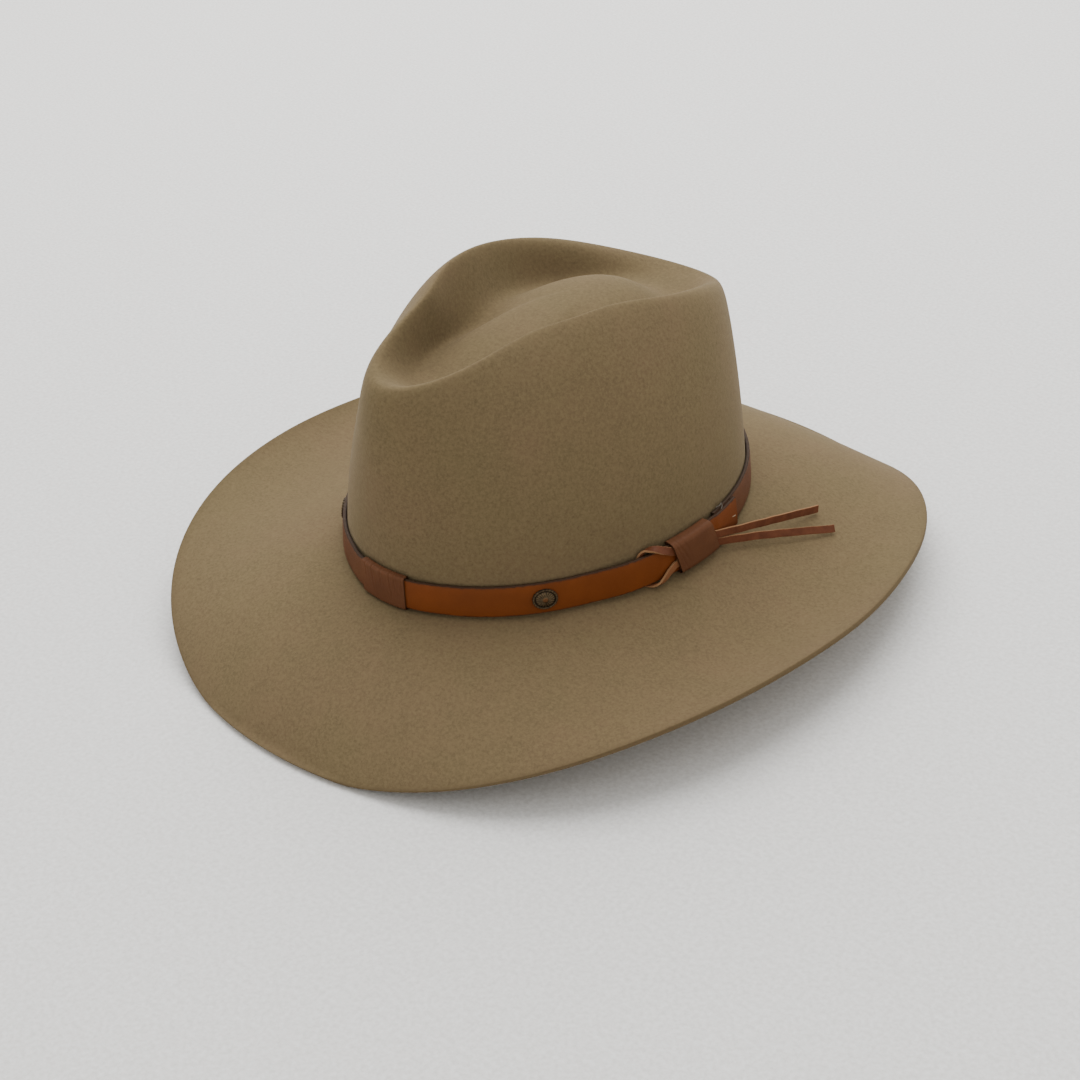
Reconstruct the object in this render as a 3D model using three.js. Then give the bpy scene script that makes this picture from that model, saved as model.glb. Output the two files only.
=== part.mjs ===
// A wide-brimmed felt hat with a teardrop crease, a leather band and a laced keeper.
// Millimetres, +Z up, the front of the hat towards -Y, standing on z = 0.
import * as THREE from 'three';

// Felt body
const HEAD_LENGTH = 206; // outside of the crown at its foot, front to back
const HEAD_WIDTH = 166; // the same from side to side
const FRONT_TAPER = 0.02; // share by which the head oval narrows towards the front
const CROWN_HEIGHT = 114; // highest point of the ridge above the foot of the crown
const BRIM_WIDTH = 85.8; // mean width, measured along the felt
const BRIM_EXTRA = 3.8; // more width at front and back, and less at the sides
const FELT_WALL = 2.2;
const FOOT_RADIUS = 1.5; // rounding between crown and brim
const REST_GIVE = 3.4; // how far the rim is flattened where the hat rests

// Leather
const CLEARANCE = 0.3; // between pieces that lie on each other
const STRAP_THICKNESS = 1.8;
const STRAP_WIDTH = 14.2;
const STRAP_LIFT = 1.2; // lower edge of the strap above the foot of the crown
const STRAP_BEVEL = 0.4;
const STRAP_END = 22.5; // how far the front strap runs past the keeper's mouth
const STRAP_LAP = 17; // how much of that lies on the back strap
const LACE_THICKNESS = 1;
const LACE_WIDTH = 3.6;
const LACE_SOFTNESS = 0.2; // bevel of its edges, of its thickness
const LACE_ROOM = 0.3; // more room behind the strap, where the lace turns
const KEEPER_WALL = 0.9;
const KEEPER_LENGTH = 25;
const KEEPER_CORNER = 1.3; // rounding inside the keeper, in front
const SLEEVE_CORNER = 0.5; // rounding inside a sleeve elsewhere
const WRAP_WALL = 0.6;
const WRAP_LENGTH = 25;
const GATHER_DEPTH = 0.3;
const GATHERS = 4;

// Conchos
const CONCHO_LENGTH = 11.2; // along the strap
const CONCHO_WIDTH = 9.4;
const CONCHO_THICKNESS = 1.9;
const SCALLOPS = 16;
const SCALLOP_DEPTH = 0.35;

// The concho's profile from boss to back: radius and height in shares, and the depth of its flutes
const CONCHO_ROWS = [
  { share: 0.18, height: 0.98, flute: 0, scallop: 0 },
  { share: 0.26, height: 0.84, flute: 0, scallop: 0 },
  { share: 0.55, height: 0.72, flute: 0.07, scallop: 0 },
  { share: 0.76, height: 0.42, flute: 0.05, scallop: 0 },
  { share: 0.93, height: 0.5, flute: 0, scallop: 1 },
  { share: 1, height: 0.3, flute: 0, scallop: 1 },
  { share: 1, height: 0, flute: 0, scallop: 1 },
];

// Places around the crown, in degrees from the front towards the wearer's left
const WRAP_PLACE = 0.4;
const KEEPER_PLACE = 91.1;
const KEEPER_TILT = 2.2; // how far the keeper's foot is turned back against its top
const CONCHO_PLACES = { concho_left: 48.4, concho_right: -46 };
const STRAP_EASE = 13; // over this many degrees a strap comes down onto the felt
const JOINT_GAP = 0.2; // either side of the joint that the wrap hides

// Shape of the crown between its sections, as shares
const WALL_SWELL = 0.14; // how soon the wall starts to lean in
const WALL_HANDLE = 0.78; // how high the wall stays straight
const VALLEY_STEEPNESS = 0.45;
const CREST = 0.6; // most of the valley's side that the rounding of the ridge may take
const DOME_START = 0.2;
const DOME_FULLNESS = 0.28;
const DOME_FLATNESS = 0.6;
const DOME_UP = 0.865; // top of the dome, of the crown height
const DOME_BACK = 0.3; // its place behind the middle, of half the head length
const BRIM_CURL = 1.45; // power with which the slope turns from foot to rim

// Seven sections from the front round to the back, the same on both sides. Ridge and valley are
// placed in shares of the head oval and of the crown height. shoulder is how many millimetres the
// wall rounds over before its ridge, foot and rim the slopes of the brim in degrees above level.
const SECTIONS = [
  { ridgeOut: 0.9, ridgeUp: 0.88, valleyOut: 0.565, valleyUp: 0.745, shoulder: 8, foot: -6.5, rim: -57 },
  { ridgeOut: 0.64, ridgeUp: 0.945, valleyOut: 0.525, valleyUp: 0.75, shoulder: 5.5, foot: -6, rim: -34 },
  { ridgeOut: 0.51, ridgeUp: 0.995, valleyOut: 0.38, valleyUp: 0.75, shoulder: 3.5, foot: -16, rim: 8 },
  { ridgeOut: 0.54, ridgeUp: 1.005, valleyOut: 0.345, valleyUp: 0.78, shoulder: 3.5, foot: -26, rim: 25 },
  { ridgeOut: 0.675, ridgeUp: 0.945, valleyOut: 0.49, valleyUp: 0.76, shoulder: 5.5, foot: -22.5, rim: 13 },
  { ridgeOut: 0.85, ridgeUp: 0.82, valleyOut: 0.66, valleyUp: 0.71, shoulder: 9, foot: -10.5, rim: -25.5 },
  { ridgeOut: 0.99, ridgeUp: 0.72, valleyOut: 0.735, valleyUp: 0.705, shoulder: 9.5, foot: -10.5, rim: -52 },
];

// Rows of the felt's surface, from the dome's top to the rim, as shares of each stretch
const DOME_ROWS = [0.82, 0.6, 0.38, 0.18];
const VALLEY_ROWS = [1, 0.84, 0.68, 0.52, 0.37, 0.23, 0.11];
const WALL_ROWS = [1, 0.91, 0.79, 0.62, 0.42, 0.19];
const BRIM_ROWS = [0.1, 0.22, 0.35, 0.48, 0.61, 0.73, 0.84, 0.92, 0.965, 1];
const AROUND = 60;
const SLOPE_STEPS = 40;
const HALVINGS = 24;
const RIM_ROUNDING = 0.4;
const REST_EASE = 0.8; // how softly the felt bends into its flattened rim

// The lace's way round the strap. inKeeper goes from 1 at the keeper's rear mouth to -1 at its
// front one, ahead is degrees beyond that, side is -1 and 1 where the lace passes the strap's
// lower and upper edge, lane is 0 behind the strap and 1 on it, and face is the way the lace
// looks, in degrees from outwards over upwards.
const LACE_BIGHT = [
  { inKeeper: 0, ahead: 0, side: 0.25, lane: 1, face: 0 },
  { inKeeper: -0.8, ahead: 0, side: 0.44, lane: 1, face: 0 },
  { inKeeper: -1, ahead: 0.8, side: 0.54, lane: 1.02, face: 6 },
  { inKeeper: -1, ahead: 3.2, side: 0.85, lane: 1.12, face: 24 },
  { inKeeper: -1, ahead: 5, side: 1.06, lane: 0.98, face: 50 },
  { inKeeper: -1, ahead: 6.9, side: 1.14, lane: 0.58, face: 88 },
  { inKeeper: -1, ahead: 8.2, side: 1.08, lane: 0.18, face: 130 },
  { inKeeper: -1, ahead: 9.2, side: 0.8, lane: 0.02, face: 172 },
  { inKeeper: -1, ahead: 9.7, side: 0.3, lane: 0, face: 180 },
  { inKeeper: -1, ahead: 9.2, side: -0.3, lane: 0, face: 180 },
  { inKeeper: -1, ahead: 8.5, side: -0.76, lane: 0.01, face: 182 },
  { inKeeper: -1, ahead: 7.9, side: -0.95, lane: 0.1, face: 218 },
  { inKeeper: -1, ahead: 7.3, side: -1.02, lane: 0.34, face: 258 },
  { inKeeper: -1, ahead: 6.5, side: -1.04, lane: 0.72, face: 282 },
  { inKeeper: -1, ahead: 5.6, side: -1, lane: 1.04, face: 315 },
  { inKeeper: -1, ahead: 4.2, side: -0.84, lane: 1.12, face: 340 },
  { inKeeper: -1, ahead: 2.3, side: -0.58, lane: 1.06, face: 354 },
  { inKeeper: -1, ahead: 0.2, side: -0.34, lane: 1.02, face: 360 },
  { inKeeper: -0.8, ahead: 0, side: -0.33, lane: 1, face: 360 },
  { inKeeper: 0, ahead: 0, side: -0.45, lane: 1, face: 360 },
];
const LACE_STEPS = 63;
const FRONT_STRAP_STEPS = 34;
const BACK_STRAP_STEPS = 66;
const KEEPER_STEPS = 8;
const CORNER_POINTS = 3; // of a sleeve's section

// Each tail leaves the keeper's rear mouth and runs to its tip on the brim: tipTurn is degrees
// beyond the keeper's middle, tipAlong the distance from the crown's foot, roll the turn of its
// face upwards, and bow how far its path bends back towards the crown.
const TAILS = {
  lace_tail_upper: { side: -0.08, tipTurn: 36.8, tipAlong: 35, roll: 5, bow: 0 },
  lace_tail_lower: { side: -0.62, tipTurn: 31.8, tipAlong: 44.5, roll: 30, bow: 1.8 },
};
const BOW_PLACE = 0.35; // share of the tail's length where it bends most
const TAIL_STEPS = 9;

const COLOURS = {
  felt: 0x7c6a4e,
  orangeLeather: 0x8a4a20,
  brownLeather: 0x6f4430,
  brass: 0x4a4238,
};

const rad = THREE.MathUtils.degToRad;
const wrapIndex = (i, n) => ((i % n) + n) % n;

// Cosine terms of a column of SECTIONS, so that their sum passes through every row
function cosineTerms(column) {
  const last = SECTIONS.length - 1;
  const half = (i) => (i === 0 || i === last ? 0.5 : 1);
  return SECTIONS.map((_, k) => {
    const sum = SECTIONS.reduce(
      (total, row, j) => total + half(j) * row[column] * Math.cos((Math.PI * k * j) / last), 0);
    return (2 * half(k) * sum) / last;
  });
}

const TERMS = {};
for (const column of Object.keys(SECTIONS[0])) {
  TERMS[column] = cosineTerms(column);
}

function sectionValue(column, degrees) {
  return TERMS[column].reduce((sum, term, k) => sum + term * Math.cos(k * rad(degrees)), 0);
}

// Foot of the crown seen from above: an oval a little narrower in front, with its outward normal
function headOval(degrees) {
  const sin = Math.sin(rad(degrees));
  const cos = Math.cos(rad(degrees));
  const across = HEAD_WIDTH / 2;
  const along = HEAD_LENGTH / 2;
  const tangent = new THREE.Vector3(
    across * (cos * (1 - FRONT_TAPER * cos) + FRONT_TAPER * sin * sin), along * sin, 0);
  return {
    point: new THREE.Vector3(across * sin * (1 - FRONT_TAPER * cos), -along * cos, 0),
    normal: new THREE.Vector3(tangent.y, -tangent.x, 0).normalize(),
    mmPerDegree: rad(tangent.length()),
  };
}

// The crown's section in one direction, as three curves: wall, valley side and dome
function crownCurves(degrees) {
  const { point: foot, normal } = headOval(degrees);
  const place = (out, up) => new THREE.Vector3(foot.x * out, foot.y * out, up * CROWN_HEIGHT);
  const ridge = place(sectionValue('ridgeOut', degrees), sectionValue('ridgeUp', degrees));
  const valley = place(sectionValue('valleyOut', degrees), sectionValue('valleyUp', degrees));
  const top = new THREE.Vector3(0, (DOME_BACK * HEAD_LENGTH) / 2, DOME_UP * CROWN_HEIGHT);

  const rise = ridge.clone().sub(foot);
  const wallStart = new THREE.Vector3(rise.x * WALL_SWELL, rise.y * WALL_SWELL, rise.z * WALL_HANDLE);
  const shoulder = sectionValue('shoulder', degrees);
  const wall = new THREE.CubicBezierCurve3(
    foot, foot.clone().add(wallStart), ridge.clone().addScaledVector(normal, shoulder), ridge);

  const drop = new THREE.Vector3(valley.x - ridge.x, valley.y - ridge.y, 0);
  const crest = Math.min(shoulder, drop.length() * CREST);
  const valleySide = new THREE.CubicBezierCurve3(
    ridge,
    ridge.clone().addScaledVector(normal, -crest),
    valley.clone().addScaledVector(drop, -VALLEY_STEEPNESS),
    valley);

  const inward = new THREE.Vector3(top.x - valley.x, top.y - valley.y, 0);
  const domeStart = valley.clone().addScaledVector(inward, DOME_START);
  domeStart.z += (top.z - valley.z) * DOME_FULLNESS;
  const dome = new THREE.CubicBezierCurve3(
    valley, domeStart, top.clone().addScaledVector(inward, -DOME_FLATNESS), top);
  return { wall, valleySide, dome, top };
}

function brimWidth(degrees) {
  return BRIM_WIDTH + BRIM_EXTRA * Math.cos(2 * rad(degrees));
}

// Top of the brim at a distance along the felt: the slope turns from its foot value to its rim
// value, and is added up in short steps
function brimPoint(degrees, distance) {
  const { point, normal } = headOval(degrees);
  const width = brimWidth(degrees);
  const foot = sectionValue('foot', degrees);
  const rim = sectionValue('rim', degrees);
  const step = distance / SLOPE_STEPS;
  let out = 0;
  let up = 0;
  for (let i = 0; i < SLOPE_STEPS; i += 1) {
    const share = ((i + 0.5) * step) / width;
    const slope = rad(foot + (rim - foot) * share ** BRIM_CURL);
    out += step * Math.cos(slope);
    up += step * Math.sin(slope);
  }
  return point.clone().addScaledVector(normal, out).setZ(up);
}

// Point of the wall curve at a height above the crown's foot, found by halving its lower half
function wallAtHeight(degrees, height) {
  const { wall } = crownCurves(degrees);
  let low = 0;
  let high = 0.5;
  for (let i = 0; i < HALVINGS; i += 1) {
    const middle = (low + high) / 2;
    if (wall.getPoint(middle).z < height) {
      low = middle;
    } else {
      high = middle;
    }
  }
  return wall.getPoint(low);
}

// One section of the felt's outer face from the dome's top to the rim
function feltSection(degrees) {
  const { wall, valleySide, dome } = crownCurves(degrees);
  const { point: foot } = headOval(degrees);
  const aboveFoot = wallAtHeight(degrees, FOOT_RADIUS);
  const besideFoot = brimPoint(degrees, FOOT_RADIUS);
  const rounding = new THREE.QuadraticBezierCurve3(aboveFoot, foot, besideFoot);
  return [
    ...DOME_ROWS.map((t) => dome.getPoint(t)),
    ...VALLEY_ROWS.map((t) => valleySide.getPoint(t)),
    ...WALL_ROWS.map((t) => wall.getPoint(t)),
    ...[0, 0.5, 1].map((t) => rounding.getPoint(t)),
    ...BRIM_ROWS.map((share) => brimPoint(degrees, share * brimWidth(degrees))),
  ];
}

// Closed surface through rings of points. It is looped into a ring, or closed at both ends with
// a fan to a point, which is the ring's middle unless it is given.
function skin(rings, { looped = false, startPoint, endPoint } = {}) {
  const around = rings[0].length;
  const points = rings.flat();
  const faces = [];
  const spans = looped ? rings.length : rings.length - 1;
  for (let r = 0; r < spans; r += 1) {
    const next = (r + 1) % rings.length;
    for (let i = 0; i < around; i += 1) {
      const j = (i + 1) % around;
      const [a, b, c, d] = [r * around + i, r * around + j, next * around + i, next * around + j];
      faces.push(a, b, d, a, d, c);
    }
  }
  if (!looped) {
    const middle = (ring) => ring.reduce((sum, p) => sum.add(p), new THREE.Vector3())
      .divideScalar(ring.length);
    const start = points.push(startPoint ?? middle(rings[0])) - 1;
    const end = points.push(endPoint ?? middle(rings.at(-1))) - 1;
    const lastRing = (rings.length - 1) * around;
    for (let i = 0; i < around; i += 1) {
      const j = (i + 1) % around;
      faces.push(start, j, i, end, lastRing + i, lastRing + j);
    }
  }
  const geometry = new THREE.BufferGeometry().setFromPoints(points);
  geometry.setIndex(enclosedVolume(points, faces) < 0 ? faces.reverse() : faces);
  geometry.computeVertexNormals();
  return geometry;
}

// Six times the volume inside a closed surface, negative where its faces point inwards
function enclosedVolume(points, faces) {
  let volume = 0;
  const cross = new THREE.Vector3();
  for (let i = 0; i < faces.length; i += 3) {
    const [a, b, c] = [points[faces[i]], points[faces[i + 1]], points[faces[i + 2]]];
    volume += cross.crossVectors(b, c).dot(a);
  }
  return volume;
}

// Felt: outer face, and an inner face one wall thickness behind it
function feltFaces() {
  const outer = Array.from({ length: AROUND }, (_, i) => feltSection((360 * i) / AROUND));
  const rows = outer[0].length;
  const { top } = crownCurves(0);
  const inner = outer.map((section, i) => section.map((point, r) => {
    const onward = r < rows - 1 ? section[r + 1] : point;
    const back = r > 0 ? section[r - 1] : top;
    const ahead = outer[wrapIndex(i + 1, AROUND)][r];
    const behind = outer[wrapIndex(i - 1, AROUND)][r];
    const normal = ahead.clone().sub(behind).cross(back.clone().sub(onward)).normalize();
    return point.clone().addScaledVector(normal, -FELT_WALL);
  }));
  return { outer, inner, top };
}

// Height of the crown's foot above the surface: the rim rests on its front and back, and gives
function footHeight({ inner }) {
  const lowest = (section) => Math.min(...section.map((p) => p.z));
  return -(Math.max(lowest(inner[0]), lowest(inner[AROUND / 2])) + REST_GIVE);
}

const FELT = feltFaces();
const FOOT_HEIGHT = footHeight(FELT);

function softFloor(z, level) {
  return level + REST_EASE * Math.log1p(Math.exp((z - level) / REST_EASE));
}

function feltBody() {
  const { outer, inner, top } = FELT;
  const rows = outer[0].length;
  const ring = (faces, r, rest) => faces.map((section) => {
    const point = section[r].clone();
    return point.setZ(rest(point.z + FOOT_HEIGHT));
  });
  const rings = [];
  for (let r = 0; r < rows; r += 1) {
    rings.push(ring(outer, r, (z) => softFloor(z, FELT_WALL)));
  }
  const under = [];
  for (let r = rows - 1; r >= 0; r -= 1) {
    under.push(ring(inner, r, (z) => Math.max(z, 0)));
  }
  const rim = rings.at(-1).map((point, i) => {
    const { normal } = headOval((360 * i) / AROUND);
    return point.clone().add(under[0][i]).multiplyScalar(0.5).addScaledVector(normal, RIM_ROUNDING);
  });
  const startPoint = top.clone().setZ(top.z + FOOT_HEIGHT);
  const endPoint = top.clone().setZ(top.z + FOOT_HEIGHT - FELT_WALL);
  return skin([...rings, rim, ...under], { startPoint, endPoint });
}

// Point beside the crown's wall: degrees round, height above the foot, distance out of the felt
function besideCrown(degrees, height, out) {
  const face = wallAtHeight(degrees, Math.max(height, 0));
  const { normal } = headOval(degrees);
  return new THREE.Vector3(face.x, face.y, FOOT_HEIGHT + height).addScaledVector(normal, out);
}

// Distances from the felt to the back of a strap: what passes behind it lies between
const WRAP_OUT = WRAP_WALL + 2 * CLEARANCE;
const KEEPER_OUT = LACE_THICKNESS + LACE_ROOM + 2 * CLEARANCE;
const LAP_OUT = STRAP_THICKNESS + 2 * CLEARANCE;

const KEEPER_FACE = KEEPER_OUT + STRAP_THICKNESS;
const STRAP_TOP = STRAP_LIFT + STRAP_WIDTH;
const STRAP_MIDDLE = STRAP_LIFT + STRAP_WIDTH / 2;
const LACE_BEHIND = KEEPER_OUT / 2;
const LACE_FRONT = KEEPER_FACE + CLEARANCE + LACE_THICKNESS / 2;
const LACE_REACH = STRAP_WIDTH / 2 + CLEARANCE + LACE_THICKNESS / 2;

// Half lengths of the sleeves in degrees, and the keeper's rear mouth at a height above the foot
const WRAP_HALF = WRAP_LENGTH / 2 / headOval(WRAP_PLACE).mmPerDegree;
const KEEPER_SCALE = headOval(KEEPER_PLACE).mmPerDegree;
const KEEPER_HALF = KEEPER_LENGTH / 2 / KEEPER_SCALE;
const keeperMouth = (height) => KEEPER_PLACE + KEEPER_HALF
  + (KEEPER_TILT * (STRAP_MIDDLE - height)) / STRAP_WIDTH;
const FRONT_STRAP_END = keeperMouth(STRAP_MIDDLE) + STRAP_END / KEEPER_SCALE;
const BACK_STRAP_START = FRONT_STRAP_END - STRAP_LAP / KEEPER_SCALE;
const LACE_START = KEEPER_PLACE - KEEPER_HALF - LACE_WIDTH / KEEPER_SCALE
  - Math.max(...LACE_BIGHT.map(({ ahead }) => ahead));

const smoothStep = (value, from, to) => THREE.MathUtils.smoothstep(value, from, to);

// Even places from one angle to another, with the places of the bends among them
function stations(from, to, steps, bends = []) {
  const even = Array.from({ length: steps + 1 }, (_, i) => THREE.MathUtils.lerp(from, to, i / steps));
  return [...even, ...bends].sort((a, b) => a - b);
}

// Flat leather round the crown, bevelled on its face
function strap(places, outAt) {
  return skin(places.map((degrees) => {
    const back = outAt(degrees);
    const face = back + STRAP_THICKNESS;
    return [
      besideCrown(degrees, STRAP_LIFT, back),
      besideCrown(degrees, STRAP_LIFT, face - STRAP_BEVEL),
      besideCrown(degrees, STRAP_LIFT + STRAP_BEVEL, face),
      besideCrown(degrees, STRAP_TOP - STRAP_BEVEL, face),
      besideCrown(degrees, STRAP_TOP, face - STRAP_BEVEL),
      besideCrown(degrees, STRAP_TOP, back),
    ];
  }));
}

// Distance that goes smoothly from one value to another between two angles
function easeBetween(degrees, fromOut, toOut, fromDegrees, toDegrees) {
  return THREE.MathUtils.lerp(fromOut, toOut, smoothStep(degrees, fromDegrees, toDegrees));
}

// The front strap leaves the wrap, comes down onto the felt, and rises again over the lace and
// over the end of the back strap
function frontStrap() {
  const wrapEnd = WRAP_PLACE + WRAP_HALF;
  const lapStart = keeperMouth(STRAP_LIFT);
  const outAt = (degrees) => easeBetween(degrees, WRAP_OUT, CLEARANCE, wrapEnd, wrapEnd + STRAP_EASE)
    + easeBetween(degrees, 0, KEEPER_OUT - CLEARANCE, LACE_START - STRAP_EASE, LACE_START)
    + easeBetween(degrees, 0, LAP_OUT - KEEPER_OUT, lapStart, BACK_STRAP_START);
  const bends = [wrapEnd, lapStart, (lapStart + BACK_STRAP_START) / 2, BACK_STRAP_START];
  return strap(stations(WRAP_PLACE + JOINT_GAP, FRONT_STRAP_END, FRONT_STRAP_STEPS, bends), outAt);
}

function backStrap() {
  const end = 360 + WRAP_PLACE;
  const wrapStart = end - WRAP_HALF;
  const outAt = (degrees) => easeBetween(degrees, CLEARANCE, WRAP_OUT, wrapStart - STRAP_EASE, wrapStart);
  return strap(stations(BACK_STRAP_START, end - JOINT_GAP, BACK_STRAP_STEPS, [wrapStart]), outAt);
}

// Rounded rectangle in distance out and height, with its corners rounded in front and at the back
function roundedSection(out0, out1, height0, height1, front, back) {
  const corners = [
    { radius: front, out: out1 - front, height: height0 + front, start: -90 },
    { radius: front, out: out1 - front, height: height1 - front, start: 0 },
    { radius: back, out: out0 + back, height: height1 - back, start: 90 },
    { radius: back, out: out0 + back, height: height0 + back, start: 180 },
  ];
  const share = Array.from({ length: CORNER_POINTS }, (_, i) => i / (CORNER_POINTS - 1));
  return corners.flatMap(({ radius, out, height, start }) => share.map((part) => {
    const turn = rad(start + 90 * part);
    return [out + radius * Math.cos(turn), height + radius * Math.sin(turn)];
  }));
}

// Leather sleeve round the strap and what lies on it, open at both ends
function sleeve({
  place, length, tilt = 0, wall, outside, corner = SLEEVE_CORNER, steps, swell = () => 0,
}) {
  const span = length / headOval(place).mmPerDegree;
  const box = (grow, share) => roundedSection(
    CLEARANCE + wall - grow,
    outside + grow + (grow > 0 ? swell(share) : 0),
    STRAP_LIFT - CLEARANCE - grow,
    STRAP_TOP + CLEARANCE + grow + (grow > 0 ? swell(share) : 0),
    corner + grow,
    SLEEVE_CORNER + grow);
  const along = (grow) => Array.from({ length: steps + 1 }, (_, s) => {
    const share = s / steps;
    return box(grow, share).map(([out, height]) => {
      const turned = (tilt * (STRAP_MIDDLE - height)) / STRAP_WIDTH;
      return besideCrown(place + turned + span * (share - 0.5), height, out);
    });
  });
  const outer = along(wall);
  const inner = along(0);
  const rings = outer[0].map((_, k) => [
    ...outer.map((points) => points[k]),
    ...inner.map((points) => points[k]).reverse(),
  ]);
  return skin(rings, { looped: true });
}

// Flat lace along a curve: its width lies across the path and square to the way its face looks
function flatLace(points, faceNormals) {
  const half = LACE_WIDTH / 2;
  const thick = LACE_THICKNESS / 2;
  const soft = LACE_THICKNESS * LACE_SOFTNESS;
  const outline = [
    [half, thick - soft], [half - soft, thick], [soft - half, thick], [-half, thick - soft],
    [-half, soft - thick], [soft - half, -thick], [half - soft, -thick], [half, soft - thick],
  ];
  const rings = points.map((point, i) => {
    const ahead = points[Math.min(i + 1, points.length - 1)];
    const behind = points[Math.max(i - 1, 0)];
    const tangent = ahead.clone().sub(behind).normalize();
    const across = faceNormals[i].clone().cross(tangent).normalize();
    const face = tangent.clone().cross(across);
    return outline.map(([side, rise]) => point.clone()
      .addScaledVector(across, side).addScaledVector(face, rise));
  });
  return skin(rings);
}

// The bight goes once round the strap, with both legs running on under the keeper
function laceBight() {
  const route = LACE_BIGHT.map((row) => ({
    ...row,
    degrees: KEEPER_PLACE + KEEPER_HALF * row.inKeeper - row.ahead,
  }));
  const legEnd = ({ side }) => ({
    side, lane: 1, face: 0, degrees: tailExit(side) - (2 * CLEARANCE) / KEEPER_SCALE,
  });
  route.unshift(legEnd(TAILS.lace_tail_upper));
  route.push({ ...legEnd(TAILS.lace_tail_lower), face: 360 });
  const place = new THREE.CatmullRomCurve3(route.map(({ degrees, side, lane }) => besideCrown(
    degrees,
    STRAP_MIDDLE + LACE_REACH * side,
    THREE.MathUtils.lerp(LACE_BEHIND, LACE_FRONT, lane))), false, 'centripetal');
  const looks = new THREE.CatmullRomCurve3(route.map(({ degrees, face }) => {
    const { normal } = headOval(degrees);
    return normal.multiplyScalar(Math.cos(rad(face))).setZ(Math.sin(rad(face)));
  }), false, 'centripetal');
  const points = [];
  const faces = [];
  for (let i = 0; i <= LACE_STEPS; i += 1) {
    points.push(place.getPoint(i / LACE_STEPS));
    faces.push(looks.getPoint(i / LACE_STEPS));
  }
  return flatLace(points, faces);
}

// Where a tail carries on from the bight's leg: its lower edge just clears the slanting mouth
function tailExit(side) {
  return keeperMouth(STRAP_MIDDLE + LACE_REACH * side - LACE_WIDTH / 2) + CLEARANCE / KEEPER_SCALE;
}

function laceTail({ side, tipTurn, tipAlong, roll, bow }) {
  const exit = tailExit(side);
  const root = besideCrown(exit, STRAP_MIDDLE + LACE_REACH * side, LACE_FRONT);
  const tip = brimPoint(KEEPER_PLACE + tipTurn, tipAlong);
  const standing = (LACE_THICKNESS + LACE_WIDTH * Math.cos(rad(roll))) / 2;
  tip.z = softFloor(tip.z + FOOT_HEIGHT, FELT_WALL) + CLEARANCE + standing;
  const { normal } = headOval(exit);
  const bend = root.clone().lerp(tip, BOW_PLACE).addScaledVector(normal, -bow);
  const curve = new THREE.CatmullRomCurve3([root, bend, tip], false, 'centripetal');
  const points = curve.getSpacedPoints(TAIL_STEPS);
  const faces = points.map((_, i) => {
    const turned = rad((roll * i) / TAIL_STEPS);
    return normal.clone().multiplyScalar(Math.cos(turned)).setZ(Math.sin(turned));
  });
  return flatLace(points, faces);
}

// Oval concho: a fluted dome inside a scalloped rim, flat at the back, facing +Z
function conchoGeometry() {
  const sides = 2 * SCALLOPS;
  const rings = CONCHO_ROWS.map(({ share, height, flute, scallop }) => Array.from(
    { length: sides }, (_, i) => {
      const notch = i % 2;
      const cut = scallop * SCALLOP_DEPTH * notch;
      const turn = (2 * Math.PI * i) / sides;
      return new THREE.Vector3(
        ((CONCHO_LENGTH / 2) * share - cut) * Math.cos(turn),
        ((CONCHO_WIDTH / 2) * share - cut) * Math.sin(turn),
        CONCHO_THICKNESS * (height - flute * notch));
    }));
  return skin(rings, {
    startPoint: new THREE.Vector3(0, 0, CONCHO_THICKNESS),
    endPoint: new THREE.Vector3(0, 0, 0),
  });
}

function material(color, roughness, metalness = 0) {
  return new THREE.MeshStandardMaterial({ color, roughness, metalness });
}

function piece(name, geometry, look) {
  const mesh = new THREE.Mesh(geometry, look);
  mesh.name = name;
  return mesh;
}

// A concho seated on the middle of the strap, turned to the strap's face
function concho(name, degrees) {
  const out = CLEARANCE + STRAP_THICKNESS + CLEARANCE;
  const seat = besideCrown(degrees, STRAP_MIDDLE, out);
  const up = besideCrown(degrees, STRAP_MIDDLE + 1, out).sub(seat);
  const { normal } = headOval(degrees);
  const across = up.clone().cross(normal).normalize();
  const mesh = piece(name, conchoGeometry(), material(COLOURS.brass, 0.45, 0.9));
  mesh.position.copy(seat);
  mesh.quaternion.setFromRotationMatrix(new THREE.Matrix4()
    .makeBasis(across, up.clone().normalize(), across.clone().cross(up).normalize()));
  return mesh;
}

const hat = new THREE.Group();
hat.add(piece('felt_body', feltBody(), material(COLOURS.felt, 0.95)));

const band = new THREE.Group();
band.add(piece('front_strap', frontStrap(), material(COLOURS.orangeLeather, 0.5)));
band.add(piece('back_strap', backStrap(), material(COLOURS.brownLeather, 0.55)));
band.add(piece('front_wrap', sleeve({
  place: WRAP_PLACE,
  length: WRAP_LENGTH,
  wall: WRAP_WALL,
  outside: WRAP_OUT + STRAP_THICKNESS + CLEARANCE,
  steps: 3 * GATHERS,
  swell: (share) => GATHER_DEPTH * Math.sin(Math.PI * GATHERS * share) ** 2,
}), material(COLOURS.brownLeather, 0.55)));
band.add(piece('keeper', sleeve({
  place: KEEPER_PLACE,
  length: KEEPER_LENGTH,
  tilt: KEEPER_TILT,
  wall: KEEPER_WALL,
  outside: KEEPER_FACE + CLEARANCE + LACE_THICKNESS + CLEARANCE,
  corner: KEEPER_CORNER,
  steps: KEEPER_STEPS,
}), material(COLOURS.brownLeather, 0.5)));
band.add(piece('lace_bight', laceBight(), material(COLOURS.brownLeather, 0.55)));
for (const [name, tail] of Object.entries(TAILS)) {
  band.add(piece(name, laceTail(tail), material(COLOURS.brownLeather, 0.55)));
}
for (const [name, degrees] of Object.entries(CONCHO_PLACES)) {
  band.add(concho(name, degrees));
}
hat.add(band);

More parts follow.
